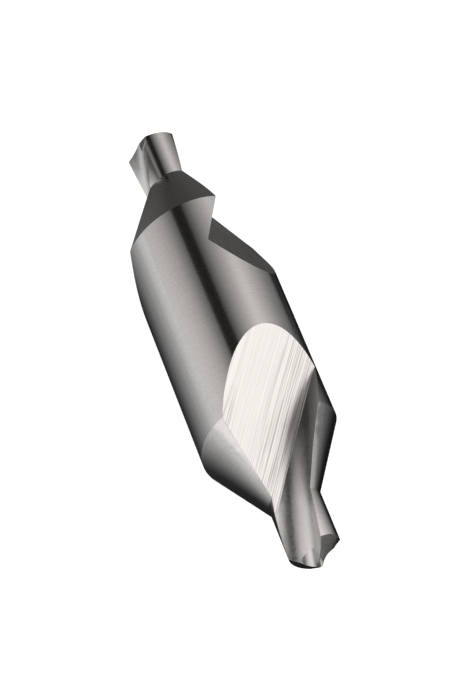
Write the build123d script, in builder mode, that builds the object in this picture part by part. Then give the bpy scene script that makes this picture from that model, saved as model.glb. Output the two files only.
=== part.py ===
"""A double-ended centre drill, type A, ground from one bar of high-speed steel.

The drill lies along X, with the origin in the middle of its body on the axis. The near end points
along +X, and the outer corners of its two lips lie straight above and below the axis, in the XZ plane.
Each end has a pilot with a 118 degree point, a 60 degree countersink and two right-hand flutes.
All lengths are in millimetres and all angles in degrees. An azimuth is an angle about the drill's
axis, counted from +Z towards +Y.
"""

import os
from math import acos, asin, cos, degrees, hypot, radians, sin, sqrt, tan

from build123d import *

# Main sizes
overall_length = 80.0
body_diameter = 20.0
pilot_diameter = 8.0
pilot_length = 10.6  # with its point
countersink_angle = 60.0
point_angle = 118.0
end_clocking = 51.5  # the far lips are turned this far from the near ones

# Relief behind the cutting edges
countersink_relief = 0.66  # offset of the ground cone's axis
pilot_relief = 0.23
relief_lead = 45.0  # the offset axes lie this far ahead of the edge
point_relief_tilt = 9.0
point_relief_lead = 100.0
relief_split = -15.0  # azimuth at which the relief of one land gives way to the other's

# Hollow ground face that carries the cutting edges and winds along the helix
flute_lead = 126.3  # length of one full turn
face_radius = 11.0
face_height = 1.4  # of the middle of the hollow above the axis
face_overshoot = 1.0

# Round bottom of the flute, tangent to the face, which is the whole flute on the pilot
bottom_radius = 4.5
bottom_height = -0.62  # of its lowest line above the axis, at the lips' outer corners
web_taper = 0.08  # how much higher that line lies with each millimetre back from there
bottom_azimuth = -10.0  # that it faces, against the helix
bottom_drop = 40.0  # slope at which the cutter falls away outside the bottom

# Ramp that the flute climbs out of the body on: a flat, a slight hollow and a gentler flat
ramp_angle = 25.1
ramp_foot = 13.5  # from the tip back to where the flat's plane meets the axis
ramp_azimuth = 13.5
ramp_skew = 11.0  # of the hollow's lines, in the flat, from square across the drill
ramp_flat_end = 27.6  # from the tip, measured over the axis
ramp_end_angle = 19.7  # of the gentler flat, which runs out onto the pilot
hollow_radius = 60.0

# Round cut that thins the web at the point
gash_radius = 1.9
gash_angle = 37.0
gash_setback = 2.0  # from the tip
gash_side = 2.2  # its axis passes this far beside the drill's
gash_height = 1.55  # and this far above it at the setback
gash_reach = 8.0

# Cutters reach past the steel
cutter_clearance = 1.0  # between the ramp's cutter and the body where it starts
flute_overshoot = 2.0
cutter_reach = 18.0
station_spacing = 2.0

# Sizes that follow
body_radius = body_diameter / 2
pilot_radius = pilot_diameter / 2
half_length = overall_length / 2
countersink_slope = tan(radians(countersink_angle / 2))
pilot_root = half_length - pilot_length
shoulder = pilot_root - (body_radius - pilot_radius) / countersink_slope
lip_corner = half_length - pilot_radius / tan(radians(point_angle / 2))
face_offset = sqrt(face_radius**2 - (pilot_radius - face_height) ** 2)
ramp_slope = tan(radians(ramp_angle))
ramp_foot_x = half_length - ramp_foot
flat_end_x = half_length - ramp_flat_end
skew_reach = cutter_reach * tan(radians(ramp_skew))
flute_start = ramp_foot_x - (body_radius + cutter_clearance) / ramp_slope
flute_end = half_length + flute_overshoot


def twist(x):
    """Angle by which the helix has turned at x, counted from the lips' outer corners."""
    return 360 * (lip_corner - x) / flute_lead


def around(radius, azimuth):
    """Sketch point at this distance from the axis, square across the drill."""
    return Vector(radius * sin(radians(azimuth)), radius * cos(radians(azimuth)))


def edge_azimuth(radius, x):
    """Azimuth of the cutting edge where it stands this far from the axis at x."""
    centre_distance = hypot(face_offset, face_height)
    centre_azimuth = -degrees(acos(face_height / centre_distance))
    cosine = (centre_distance**2 + radius**2 - face_radius**2) / (2 * centre_distance * radius)
    return centre_azimuth + degrees(acos(cosine)) + twist(x)


def flute_section(x):
    """Outline, square across the drill at x, of what one flute takes from the pilot."""
    turned = radians(twist(x))
    face_centre = Vector(
        -face_offset * cos(turned) + face_height * sin(turned),
        face_offset * sin(turned) + face_height * cos(turned),
    )
    face_rise = body_radius + face_overshoot - face_height
    face_end_angle = degrees(asin(face_rise / face_radius)) - twist(x)

    # the bottom rises with the taper of the web and touches the face from inside its hollow
    bottom_faces = bottom_azimuth + twist(x)
    up = around(1, bottom_faces)
    across = Vector(up.Y, -up.X)
    centre_height = bottom_height + web_taper * (lip_corner - x) + bottom_radius
    below_face = centre_height - face_centre.dot(up)
    beyond_face = sqrt((face_radius - bottom_radius) ** 2 - below_face**2)
    bottom_centre = up * centre_height + across * (face_centre.dot(across) + beyond_face)
    bottom_turn = 90 + degrees(asin(below_face / (face_radius - bottom_radius)))
    bottom_end_angle = bottom_turn - 90 - bottom_faces

    with BuildSketch(Plane.YZ.offset(x)) as section:
        with BuildLine():
            bottom = CenterArc(bottom_centre, bottom_radius, -90 - bottom_faces, bottom_turn)
            face = CenterArc(face_centre, face_radius, bottom_end_angle, face_end_angle - bottom_end_angle)
            outside = bottom @ 0 - across * cutter_reach - up * cutter_reach * tan(radians(bottom_drop))
            Polyline(face @ 1, outside + up * 2 * cutter_reach, outside, bottom @ 0)
        make_face()
    return section.sketch


# The ramp's profile, along the axis and the direction that the ramp faces, with the space above it
ramp_up = around(1, ramp_azimuth)
with BuildSketch(Plane(origin=(0, 0, 0), x_dir=(1, 0, 0), z_dir=(0, -ramp_up.Y, ramp_up.X))) as ramp:
    with BuildLine():
        flat = Line(
            (flute_start - skew_reach, (ramp_foot_x - flute_start + skew_reach) * ramp_slope),
            (flat_end_x, (ramp_foot_x - flat_end_x) * ramp_slope),
        )
        off_flat = Vector(sin(radians(ramp_angle)), cos(radians(ramp_angle)))
        hollow_centre = flat @ 1 + off_flat * hollow_radius
        hollow = CenterArc(hollow_centre, hollow_radius, -90 - ramp_angle, ramp_angle - ramp_end_angle)
        past_hollow = flute_end + skew_reach - (hollow @ 1).X
        low_end = hollow @ 1 + Vector(past_hollow, -past_hollow * tan(radians(ramp_end_angle)))
        Polyline(hollow @ 1, low_end, (low_end.X, cutter_reach), ((flat @ 0).X, cutter_reach), flat @ 0)
    make_face()

# The line in the flat that the profile is swept along, turned by the skew up its slope
up_slope = tan(radians(ramp_skew))
hollow_line = (
    -up_slope * cos(radians(ramp_angle)),
    ramp_up.Y + up_slope * sin(radians(ramp_angle)) * ramp_up.X,
    -ramp_up.X + up_slope * sin(radians(ramp_angle)) * ramp_up.Y,
)

# The cutter for one flute of the near end: the wound groove, as far as it is above the ramp
station_count = round((flute_end - flute_start) / station_spacing)
step_length = (flute_end - flute_start) / station_count
stations = [flute_start + step * step_length for step in range(station_count + 1)]
with BuildPart() as flute:
    loft([flute_section(x) for x in stations])
    extrude(ramp.sketch, amount=cutter_reach, dir=hollow_line, both=True, mode=Mode.INTERSECT)


def offset_axis(offset, edge):
    """Place of a relief axis, set off ahead of a cutting edge at this azimuth."""
    place = around(offset, edge - relief_lead)
    return (0, place.X, place.Y)


# The countersink's cone, about an axis that leaves the surface falling away behind the edge
mid_cone_x = (shoulder + pilot_root) / 2
mid_cone_radius = (body_radius + pilot_radius) / 2
cone_origin = offset_axis(countersink_relief, edge_azimuth(mid_cone_radius, mid_cone_x))
cone_radius = body_radius - countersink_relief * cos(radians(relief_lead))
cone_height = shoulder + cone_radius / countersink_slope
with BuildPart(Plane(origin=cone_origin, x_dir=(0, 1, 0), z_dir=(1, 0, 0))) as countersink:
    Cone(
        cone_height * countersink_slope,
        0,
        cone_height,
        align=(Align.CENTER, Align.CENTER, Align.MIN),
    )

# The cone on which one flank of the point is ground, tilted about the tip
tilt_side = around(sin(radians(point_relief_tilt)), -point_relief_lead)
flank_direction = (-cos(radians(point_relief_tilt)), tilt_side.X, tilt_side.Y)
lip_lean = radians(point_angle / 2)
tilt = radians(point_relief_tilt)
flank_half_angle = acos(
    cos(lip_lean) * cos(tilt) + sin(lip_lean) * sin(tilt) * cos(radians(point_relief_lead))
)
flank_slope = tan(flank_half_angle)
with BuildPart(Plane(origin=(half_length, 0, 0), z_dir=flank_direction)) as flank:
    Cone(
        0,
        overall_length * flank_slope,
        overall_length,
        align=(Align.CENTER, Align.CENTER, Align.MIN),
    )

# One land of the near end with the half of the bar that carries it, from the middle of the body
pilot_origin = offset_axis(pilot_relief, edge_azimuth(pilot_radius, (pilot_root + lip_corner) / 2))
split_side = around(1, relief_split + 90)
with BuildPart() as land:
    with BuildSketch(Plane.YZ):
        Circle(body_radius)
    extrude(amount=half_length)
    add(countersink.part, mode=Mode.INTERSECT)
    with BuildSketch(Plane(origin=pilot_origin, x_dir=(0, 1, 0), z_dir=(1, 0, 0))):
        Circle(pilot_radius - pilot_relief * cos(radians(relief_lead)))
    extrude(amount=half_length)
    add(flank.part, mode=Mode.INTERSECT)
    add(flank.part.rotate(Axis.X, 180), mode=Mode.INTERSECT)
    split(
        bisect_by=Plane(origin=(0, 0, 0), x_dir=(1, 0, 0), z_dir=(0, split_side.X, split_side.Y)),
        keep=Keep.TOP,
    )

# The round cut from the flute to the flank of the other land
gash_direction = (cos(radians(gash_angle)), 0, -sin(radians(gash_angle)))
gash_origin = (half_length - gash_setback, -gash_side, gash_height)
with BuildPart(Plane(origin=gash_origin, x_dir=(0, 1, 0), z_dir=gash_direction)) as gash:
    Cylinder(gash_radius, 2 * gash_reach)

with BuildPart() as near_end:
    for turn in (0, 180):
        add(land.part.rotate(Axis.X, turn))
    for turn in (0, 180):
        add(flute.part.rotate(Axis.X, turn), mode=Mode.SUBTRACT)
        add(gash.part.rotate(Axis.X, turn), mode=Mode.SUBTRACT)

# The far end is the near one turned about a line across the drill, half way to its clocking
turning_side = around(1, end_clocking / 2)
turning_axis = Axis((0, 0, 0), (0, turning_side.X, turning_side.Y))
with BuildPart() as centre_drill:
    add(near_end.part)
    add(near_end.part.rotate(turning_axis, 180))

centre_drill.part.label = "centre_drill"
os.makedirs("parts", exist_ok=True)
export_step(centre_drill.part, "parts/centre_drill.step")
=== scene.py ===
from math import cos, degrees, radians, sin, tau

import bpy
import numpy as np
from mathutils import Matrix, Vector


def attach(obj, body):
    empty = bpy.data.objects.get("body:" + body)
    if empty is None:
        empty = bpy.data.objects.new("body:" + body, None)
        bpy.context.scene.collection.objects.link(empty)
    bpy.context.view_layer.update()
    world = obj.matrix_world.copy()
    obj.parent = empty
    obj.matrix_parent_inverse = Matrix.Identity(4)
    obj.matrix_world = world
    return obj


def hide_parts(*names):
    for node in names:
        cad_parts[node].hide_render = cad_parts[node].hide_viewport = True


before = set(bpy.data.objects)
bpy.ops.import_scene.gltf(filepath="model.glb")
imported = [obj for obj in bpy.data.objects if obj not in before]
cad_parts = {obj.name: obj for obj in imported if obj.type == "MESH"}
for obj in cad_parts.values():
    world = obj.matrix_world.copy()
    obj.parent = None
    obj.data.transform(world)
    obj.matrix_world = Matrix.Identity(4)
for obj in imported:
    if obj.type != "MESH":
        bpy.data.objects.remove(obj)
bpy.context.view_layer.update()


# The drill: one piece of high-speed steel, ground all over from a round bar. The flutes are ground
# first, then the relieved cones and pilots, and last the points and the gashes that thin the web.
# Every ground surface keeps the fine marks of its wheel, so each kind has a finish of its own.
drill = bpy.data.objects.new("ground_drill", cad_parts["centre_drill"].data.copy())
bpy.context.scene.collection.objects.link(drill)
steel = drill.data
mm_per_metre = 1000

# the ramp of the first flute of the near end, and the wheel's marks on it
ramp_angle = radians(25.1)
mean_ramp_angle = radians(22.4)  # with the gentler flat that runs onto the pilot
ramp_azimuth = radians(13.5)
marks_skew = radians(26)  # from straight down the slope
ramp_up = Vector((0, sin(ramp_azimuth), cos(ramp_azimuth)))
ramp_side = Vector((0, cos(ramp_azimuth), -sin(ramp_azimuth)))
ramp_down_slope = Vector((cos(ramp_angle), 0, 0)) - ramp_up * sin(ramp_angle)
ramp_facing = Vector((sin(mean_ramp_angle), 0, 0)) + ramp_up * cos(mean_ramp_angle)
along_marks = ramp_down_slope * cos(marks_skew) - ramp_side * sin(marks_skew)
across_marks = ramp_side * cos(marks_skew) + ramp_down_slope * sin(marks_skew)

# the helix of that flute, in millimetres
flute_lead = 126.3
lip_corner_x = 37.6

# how the other flutes are turned from that one
end_clocking = radians(51.5)
turning_line = Vector((0, sin(end_clocking / 2), cos(end_clocking / 2)))
other_flute = Matrix.Rotation(radians(180), 3, "X")
other_end = Matrix.Rotation(radians(180), 3, turning_line)

# what tells the ground surfaces apart: how near to the axis they come, and how far they reach
# from it, in millimetres
body_from = 9.9
gash_within = 2.9
pilot_from, pilot_within = 0.5, 4.5
face_from = 5
countersink_from = 3

# and how squarely they face the way that the ramp does, from 1 down to -1 for the opposite way
ramp_above = 0.95
other_flute_below = -0.4


def ground_patches(mesh):
    """The surfaces that meet only at sharp edges or seams, each as a list of its polygons."""
    leader = list(range(len(mesh.vertices)))

    def lead(vertex):
        while leader[vertex] != vertex:
            leader[vertex] = leader[leader[vertex]]
            vertex = leader[vertex]
        return vertex

    for polygon in mesh.polygons:
        first, *rest = polygon.vertices
        for vertex in rest:
            leader[lead(vertex)] = lead(first)
    patches = {}
    for polygon in mesh.polygons:
        patches.setdefault(lead(polygon.vertices[0]), []).append(polygon)
    return patches.values()


def kind_of_ground(nearest, furthest, on_ramp):
    """Which surface of the drill a patch is, by its least and greatest distance from the axis."""
    if nearest > body_from:
        return "body"
    if furthest < gash_within:
        return "gash"
    if furthest < pilot_within:
        return "point" if nearest < pilot_from else "pilot"
    if on_ramp:
        return "ramp"
    if nearest > face_from:
        return "face"
    return "countersink" if nearest > countersink_from else "valley"


def ground_place(kind, place):
    """Where a point of the near end's first flute lies in the pattern of its wheel's marks.

    On the ramp X counts across the marks and Y along them. In the flute Y counts along the drill,
    and X and Z turn with the helix.
    """
    if kind == "ramp":
        return place.dot(across_marks), place.dot(along_marks), place.dot(ramp_side)
    if kind in ("face", "valley"):
        unwound = Matrix.Rotation(tau * (lip_corner_x - place.x) / flute_lead, 3, "X") @ place
        return unwound.y, place.x, unwound.z
    return place


kinds = ["body", "countersink", "pilot", "point", "ramp", "face", "valley", "gash"]
steel.materials.clear()
for kind in kinds:
    steel.materials.append(None)
grind = np.zeros((len(steel.vertices), 3))
for patch in ground_patches(steel):
    corners = sorted({vertex for polygon in patch for vertex in polygon.vertices})
    places = {vertex: steel.vertices[vertex].co * mm_per_metre for vertex in corners}
    reach = [Vector((0, place.y, place.z)).length for place in places.values()]
    area = sum(polygon.area for polygon in patch)
    middle = sum((polygon.center * polygon.area for polygon in patch), Vector()) / area
    facing = sum((polygon.normal * polygon.area for polygon in patch), Vector()) / area
    turn = other_end if middle.x < 0 else Matrix.Identity(3)
    below_axis = (turn @ middle).dot(ramp_up) < 0
    if below_axis and (turn @ facing).dot(ramp_facing) < other_flute_below:
        turn = other_flute @ turn
    on_ramp = (turn @ facing).dot(ramp_facing) > ramp_above
    kind = kind_of_ground(min(reach), max(reach), on_ramp)
    for polygon in patch:
        polygon.material_index = kinds.index(kind)
    for vertex, place in places.items():
        grind[vertex] = ground_place(kind, turn @ place)
steel.attributes.new("grind", "FLOAT_VECTOR", "POINT").data.foreach_set("vector", grind.ravel())


def node(tree, kind, inputs=None, **settings):
    """Adds a node. An input is a value, or the socket that it is linked from."""
    made = tree.nodes.new(kind)
    for name, value in settings.items():
        setattr(made, name, value)
    for name, value in (inputs or {}).items():
        if isinstance(value, bpy.types.NodeSocket):
            tree.links.new(value, made.inputs[name])
        else:
            made.inputs[name].default_value = value
    return made


def worked_out(tree, operation, *numbers):
    """A number worked out from others."""
    return node(tree, "ShaderNodeMath", dict(enumerate(numbers)), operation=operation).outputs[0]


def carried(tree, value, span, onto=(0, 1)):
    """Carries a value from one span onto another, and stops at its ends."""
    low, high = span
    onto_low, onto_high = onto
    spread = node(
        tree,
        "ShaderNodeMapRange",
        {
            "Value": value,
            "From Min": low,
            "From Max": high,
            "To Min": onto_low,
            "To Max": onto_high,
        },
    )
    return spread.outputs[0]


def mixed(tree, share, first, second, blend="MIX"):
    """A colour between two others, or one multiplied by the other."""
    mix = node(
        tree,
        "ShaderNodeMix",
        {"Factor": share, "A": first, "B": second},
        data_type="RGBA",
        blend_type=blend,
    )
    return mix.outputs["Result"]


def parts_of(tree, vector):
    """The X, Y and Z of a vector."""
    return node(tree, "ShaderNodeSeparateXYZ", {0: vector}).outputs


def grind_of(tree):
    """The place in the pattern of the wheel's marks, in millimetres."""
    return node(tree, "ShaderNodeAttribute", attribute_name="grind").outputs["Vector"]


grit = 0.6  # how strong each finer layer of the marks is beside the coarser one


def wheel_marks(tree, marks, layers):
    """Marks of the grinding wheel, 0 to 1, with so many to the millimetre each way."""
    scaled = node(
        tree,
        "ShaderNodeVectorMath",
        {0: grind_of(tree), 1: marks},
        operation="MULTIPLY",
    )
    noise = node(
        tree,
        "ShaderNodeTexNoise",
        {"Vector": scaled.outputs[0], "Scale": 1, "Detail": layers, "Roughness": grit},
    )
    return noise.outputs[0]


# the marks and the satin are counts to the millimetre, and the steels go from dark to light; the
# pilot's and the ramp's steels are lighter copies of the plain one, painted light
round_marks = (5, 0.3, 0.3)
flute_marks = (4, 0.08, 4)
ramp_marks = (6.5, 0.025, 0)
even_satin = (2.5, 2.5, 2.5)
ramp_satin = (3, 0.04, 0)
marks_layers = 4
satin_layers = 3
plain_steel = ((0.59, 0.58, 0.57), (0.65, 0.64, 0.63))
lit_pilot_steel = ((0.69, 0.68, 0.67), (0.75, 0.74, 0.73))
lit_ramp_steel = ((0.67, 0.655, 0.64), (0.83, 0.815, 0.795))
tone_span = (0.8, 1.2)  # of marks and satin together, over which the steel goes to light
satin_span = (0.35, 0.65)  # of the satin alone, over which it goes to rough
broken_edge_radius = 0.00006


def ground_finish(name, marks, roughness, depth, satin=even_satin, colours=plain_steel):
    """Steel with a wheel's marks, their depth in metres, and a satin that varies its gloss."""
    finish = bpy.data.materials.new(name)
    finish.use_nodes = True
    tree = finish.node_tree
    shader = tree.nodes["Principled BSDF"]
    shader.inputs["Metallic"].default_value = 1
    lines = wheel_marks(tree, marks, marks_layers)
    grain = wheel_marks(tree, satin, satin_layers)
    dark, light = colours
    lightness = carried(tree, worked_out(tree, "ADD", lines, grain), tone_span)
    colour = mixed(tree, lightness, (*dark, 1), (*light, 1))
    tree.links.new(colour, shader.inputs["Base Color"])
    tree.links.new(carried(tree, grain, satin_span, roughness), shader.inputs["Roughness"])
    broken_edge = node(tree, "ShaderNodeBevel", {"Radius": broken_edge_radius}, samples=4)
    scratches = node(
        tree,
        "ShaderNodeBump",
        {"Strength": 1, "Distance": depth, "Height": lines, "Normal": broken_edge.outputs[0]},
    )
    tree.links.new(scratches.outputs[0], shader.inputs["Normal"])
    return finish


finishes = {
    "body": ground_finish("ground_round", round_marks, (0.1, 0.15), 3e-7),
    "countersink": ground_finish("ground_cone", round_marks, (0.12, 0.17), 3e-7),
    "pilot": ground_finish("ground_pilot", round_marks, (0.1, 0.15), 3e-7, colours=lit_pilot_steel),
    "point": ground_finish("ground_point", round_marks, (0.2, 0.28), 4e-7),
    "ramp": ground_finish("ground_ramp", ramp_marks, (0.27, 0.33), 7e-6, ramp_satin, lit_ramp_steel),
    "face": ground_finish("ground_face", flute_marks, (0.3, 0.36), 6e-7),
    "valley": ground_finish("ground_valley", flute_marks, (0.27, 0.33), 4e-7),
    "gash": ground_finish("ground_gash", flute_marks, (0.28, 0.34), 8e-7),
}

# the ramp's broad dark streaks, painted into its colour: painted reflection and shade, all over,
# but thickest along the face, and low down at the heel
streak_marks = (4.5, 0.04, 0)
streak_layers = 3
streak_edge = (0.49, 0.58)
painted_streak_steel = (0.42, 0.41, 0.395, 1)
side_by_face, streaked_by_face = (2.5, 6), (0.2, 1)
side_by_heel, streaked_by_heel = (0.3, -1), (0, 0.8)
down_the_heel = (9, 15)
tree = finishes["ramp"].node_tree
across, along, _ = parts_of(tree, grind_of(tree))
by_face = carried(tree, across, side_by_face, streaked_by_face)
by_heel = carried(tree, across, side_by_heel, streaked_by_heel)
low_heel = worked_out(tree, "MULTIPLY", by_heel, carried(tree, along, down_the_heel))
painted_streak_mask = worked_out(tree, "MAXIMUM", by_face, low_heel)
streaks = carried(tree, wheel_marks(tree, streak_marks, streak_layers), streak_edge)
painted_dark_streaks = worked_out(tree, "MULTIPLY", painted_streak_mask, streaks)
ramp_colour = tree.nodes["Principled BSDF"].inputs["Base Color"]
bright = ramp_colour.links[0].from_socket
tree.links.new(mixed(tree, painted_dark_streaks, bright, painted_streak_steel), ramp_colour)

# the flutes are darker up in the countersink and lighter on the pilot: painted shade, multiplied
# into their colour
flute_shade_x = (20, 30)
flute_shade_tone = (0.55, 1.15)
for kind in ("face", "valley"):
    tree = finishes[kind].node_tree
    _, along, _ = parts_of(tree, grind_of(tree))
    tone = carried(tree, along, flute_shade_x, flute_shade_tone)
    flute_colour = tree.nodes["Principled BSDF"].inputs["Base Color"]
    unshaded_flute_colour = flute_colour.links[0].from_socket
    tree.links.new(mixed(tree, 1, unshaded_flute_colour, tone, "MULTIPLY"), flute_colour)
for slot, kind in enumerate(kinds):
    steel.materials[slot] = finishes[kind]
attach(drill, "root")
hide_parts("centre_drill")


# The floor: a plain pale sheet of paper, laid flat, that the round body rests on. It is white where
# the camera, a reflection or a refraction sees it, and keeps the drill's faint shadow.
floor_z = -0.010
floor_reach = 1.4
floor_rim = [
    (-floor_reach, -floor_reach, 0),
    (floor_reach, -floor_reach, 0),
    (floor_reach, floor_reach, 0),
    (-floor_reach, floor_reach, 0),
]
paper_white = 0.93
paper_matt = (0.5, 0.5, 0.5, 1)


def sheet(name, *rims):
    """A thin sheet of one or more pieces, each given by its rim."""
    faces = []
    for rim in rims:
        first = sum(len(face) for face in faces)
        faces.append(tuple(range(first, first + len(rim))))
    mesh = bpy.data.meshes.new(name)
    mesh.from_pydata([corner for rim in rims for corner in rim], [], faces)
    made = bpy.data.objects.new(name, mesh)
    bpy.context.scene.collection.objects.link(made)
    return made


def bare_material(name):
    """A material with no shader yet."""
    material = bpy.data.materials.new(name)
    material.use_nodes = True
    material.node_tree.nodes.remove(material.node_tree.nodes["Principled BSDF"])
    return material


floor = sheet("floor", floor_rim)
floor.location.z = floor_z
paper = bare_material("white_paper")
tree = paper.node_tree
ray = node(tree, "ShaderNodeLightPath").outputs
seen = worked_out(tree, "MAXIMUM", ray["Is Camera Ray"], ray["Is Glossy Ray"])
seen = worked_out(tree, "MAXIMUM", seen, ray["Is Transmission Ray"])
whiteness = worked_out(tree, "MULTIPLY", seen, paper_white)
glow = node(tree, "ShaderNodeEmission", {"Color": (1, 1, 1, 1), "Strength": whiteness})
matt = node(tree, "ShaderNodeBsdfDiffuse", {"Color": paper_matt})
both = node(tree, "ShaderNodeAddShader", {0: glow.outputs[0], 1: matt.outputs[0]})
tree.links.new(both.outputs[0], tree.nodes["Material Output"].inputs["Surface"])
floor.data.materials.append(paper)


# The card on the floor beside the drill, as only the steel sees it: pale on the left and dark on
# the right, and darker towards the drill, so that the underside of the round falls off to black.
# The darkening towards the drill is the drill's shadow on the floor, painted into the card.
card_lift = 0.0001  # off the floor
tone_and_painted_shadow_beside = [
    (-0.15, 0.82),
    (-0.08, 0.75),
    (-0.056, 0.68),
    (-0.030, 0.43),
    (-0.020, 0.24),
    (-0.015, 0.11),
    (-0.011, 0.03),
    (0.000, 0.01),
    (0.025, 0.012),
    (0.031, 0.035),
    (0.056, 0.13),
    (0.15, 0.25),
]


def seen_by_steel_only(piece):
    """Leaves a piece to be seen in the drill's reflections and in nothing else."""
    piece.visible_camera = False
    piece.visible_diffuse = False
    piece.visible_transmission = False
    piece.visible_shadow = False


def place_on(tree):
    """The place on a piece, in metres."""
    return node(tree, "ShaderNodeTexCoord").outputs["Object"]


def tone_by(tree, value, stops):
    """A grey that follows a value, from rows of the value and its brightness."""
    low, high = stops[0][0], stops[-1][0]
    ramp = node(tree, "ShaderNodeValToRGB", {0: carried(tree, value, (low, high))})
    elements = ramp.color_ramp.elements
    elements.remove(elements[1])
    for place, tone in stops:
        position = (place - low) / (high - low)
        element = elements[0] if place == low else elements.new(position)
        element.position = position
        element.color = (tone, tone, tone, 1)
    return ramp.outputs["Color"]


def lit_in(tree, colour):
    """Makes a surface give light of a colour."""
    light = node(tree, "ShaderNodeEmission", {"Color": colour, "Strength": 1})
    tree.links.new(light.outputs[0], tree.nodes["Material Output"].inputs["Surface"])


card = sheet("reflector_card", floor_rim)
card.location.z = floor_z + card_lift
seen_by_steel_only(card)
card_paint = bare_material("card_gradient")
tree = card_paint.node_tree
_, beside, _ = parts_of(tree, place_on(tree))
lit_in(tree, tone_by(tree, beside, tone_and_painted_shadow_beside))
card.data.materials.append(card_paint)


# The grey cards on the floor past the two ends, again only as the steel sees them. The far one
# lights the far cone and the ramp beside it, and the near one the flanks of the near point.
far_rim = [
    (-floor_reach, -0.25, 0),
    (-0.045, -0.03, 0),
    (-0.029, -0.02, 0),
    (-0.029, 0.008, 0),
    (-0.022, 0.008, 0),
    (-0.022, 0.05, 0),
    (-0.045, 0.06, 0),
    (-floor_reach, 0.25, 0),
]
near_rim = [
    (0.044, -0.03, 0),
    (floor_reach, -0.25, 0),
    (floor_reach, 1, 0),
    (0.044, 0.1, 0),
]
far_tone = [
    (-0.7, 0.26),
    (-0.3, 0.15),
    (-0.05, 0.06),
    (0.15, 0.075),
    (0.35, 0.1),
    (0.5, 0.05),
    (0.8, 0.03),
]
far_brown = (1, 0.96, 0.92, 1)
near_grey = (0.13, 0.13, 0.125, 1)
far_to_near = (-0.1, 0.1)


def direction_on(tree):
    """The direction from a piece's middle to the place on it, as a vector of length 1."""
    direction = node(tree, "ShaderNodeVectorMath", {0: place_on(tree)}, operation="NORMALIZE")
    return direction.outputs[0]


far_card = sheet("far_card", far_rim, near_rim)
far_card.location.z = floor_z + 2 * card_lift
seen_by_steel_only(far_card)
grey_card = bare_material("grey_card")
tree = grey_card.node_tree
towards_end, towards_side, _ = parts_of(tree, direction_on(tree))
browned = mixed(tree, 1, tone_by(tree, towards_side, far_tone), far_brown, "MULTIPLY")
lit_in(tree, mixed(tree, carried(tree, towards_end, far_to_near), browned, near_grey))
far_card.data.materials.append(grey_card)


# The flag: a small sheet of dark cloth, stood upright on the left of the far point, that shades
# the flute there. Only the steel sees it too.
flag_rim = [
    (-0.042, -0.02, 0.002),
    (-0.07, -0.02, 0.002),
    (-0.07, -0.02, 0.024),
    (-0.042, -0.02, 0.024),
]
flag_tone = [(-0.07, 0.06), (-0.048, 0.1), (-0.042, 0.5)]
flag = sheet("flag", flag_rim)
seen_by_steel_only(flag)
flag_cloth = bare_material("flag_cloth")
tree = flag_cloth.node_tree
along, _, _ = parts_of(tree, place_on(tree))
lit_in(tree, tone_by(tree, along, flag_tone))
flag.data.materials.append(flag_cloth)


# The light tent: a long round tent about the drill's axis, lit through its cloth from both sides,
# with a dark slot above the camera's side of the drill and a dark end beyond the far point.
tent_radius = 1.5
tent_length = 3.6
tent_slot_azimuth = radians(-21.1)
tone_from_slot = [
    (-180, 0.30),
    (-110, 0.60),
    (-86, 0.80),
    (-62, 0.84),
    (-46, 0.74),
    (-30, 0.56),
    (-14, 0.27),
    (-8.5, 0.19),
    (-7, 0.025),
    (2, 0.02),
    (10.5, 0.025),
    (12, 0.1),
    (18, 0.19),
    (26, 0.33),
    (34, 0.48),
    (42, 0.62),
    (50, 0.78),
    (58, 0.89),
    (66, 0.83),
    (82, 0.61),
    (98, 0.41),
    (114, 0.25),
    (130, 0.13),
    (180, 0.10),
]
tone_towards_ends = [
    (-1, 0.1),
    (-0.85, 0.22),
    (-0.7, 0.55),
    (-0.55, 1),
    (-0.2, 1.2),
    (0, 1.65),
    (0.2, 1.7),
    (0.35, 1.5),
    (1, 1.1),
]
warm_white = (1, 0.97, 0.95, 1)
bpy.ops.mesh.primitive_cylinder_add(
    vertices=96, radius=tent_radius, depth=tent_length, rotation=(0, radians(90), 0)
)
tent = bpy.context.object
tent.name = "light_tent"
tent.data.transform(tent.matrix_world)
tent.matrix_world = Matrix.Identity(4)
tent.visible_camera = False
cloth = bare_material("lit_cloth")
tree = cloth.node_tree
towards_end, towards_side, upwards = parts_of(tree, direction_on(tree))
azimuth = worked_out(tree, "ARCTAN2", towards_side, upwards)
from_slot = worked_out(tree, "ADD", azimuth, -tent_slot_azimuth)
from_slot = worked_out(tree, "WRAP", from_slot, radians(180), radians(-180))
degrees_from_slot = worked_out(tree, "MULTIPLY", from_slot, degrees(1))
round_tone = tone_by(tree, degrees_from_slot, tone_from_slot)
end_tone = tone_by(tree, towards_end, tone_towards_ends)
tone = mixed(tree, 1, round_tone, end_tone, "MULTIPLY")
lit_in(tree, mixed(tree, 1, tone, warm_white, "MULTIPLY"))
tent.data.materials.clear()
tent.data.materials.append(cloth)


# The background: plain white, for what the camera sees past the edges of the floor. The tent
# stands between it and the drill and keeps its light out.
world = bpy.data.worlds.new("white_background")
bpy.context.scene.world = world
world.use_nodes = True
background = world.node_tree.nodes["Background"]
background.inputs["Color"].default_value = (1, 1, 1, 1)
background.inputs["Strength"].default_value = 1


# The camera stands above the near end with a long lens, a little to its left, and is rolled so
# that the drill runs from the upper left to the lower right of the picture.
camera_place = Vector((230.07, -123.95, 321.46)) / mm_per_metre
camera_right = Vector((0.3153, 0.9388, 0.1386))
camera_up = Vector((-0.7718, 0.1687, 0.6131))
camera_back = Vector((0.5522, -0.3003, 0.7778))
camera_turn = Matrix((camera_right, camera_up, camera_back)).transposed()
lens = bpy.data.cameras.new("camera")
lens.lens = 148.58
lens.sensor_width = 36
lens.clip_start = 0.01
lens.clip_end = 10
camera = bpy.data.objects.new("camera", lens)
bpy.context.scene.collection.objects.link(camera)
camera.matrix_world = Matrix.Translation(camera_place) @ camera_turn.to_4x4()
bpy.context.scene.camera = camera
bpy.context.scene.view_settings.view_transform = "Standard"
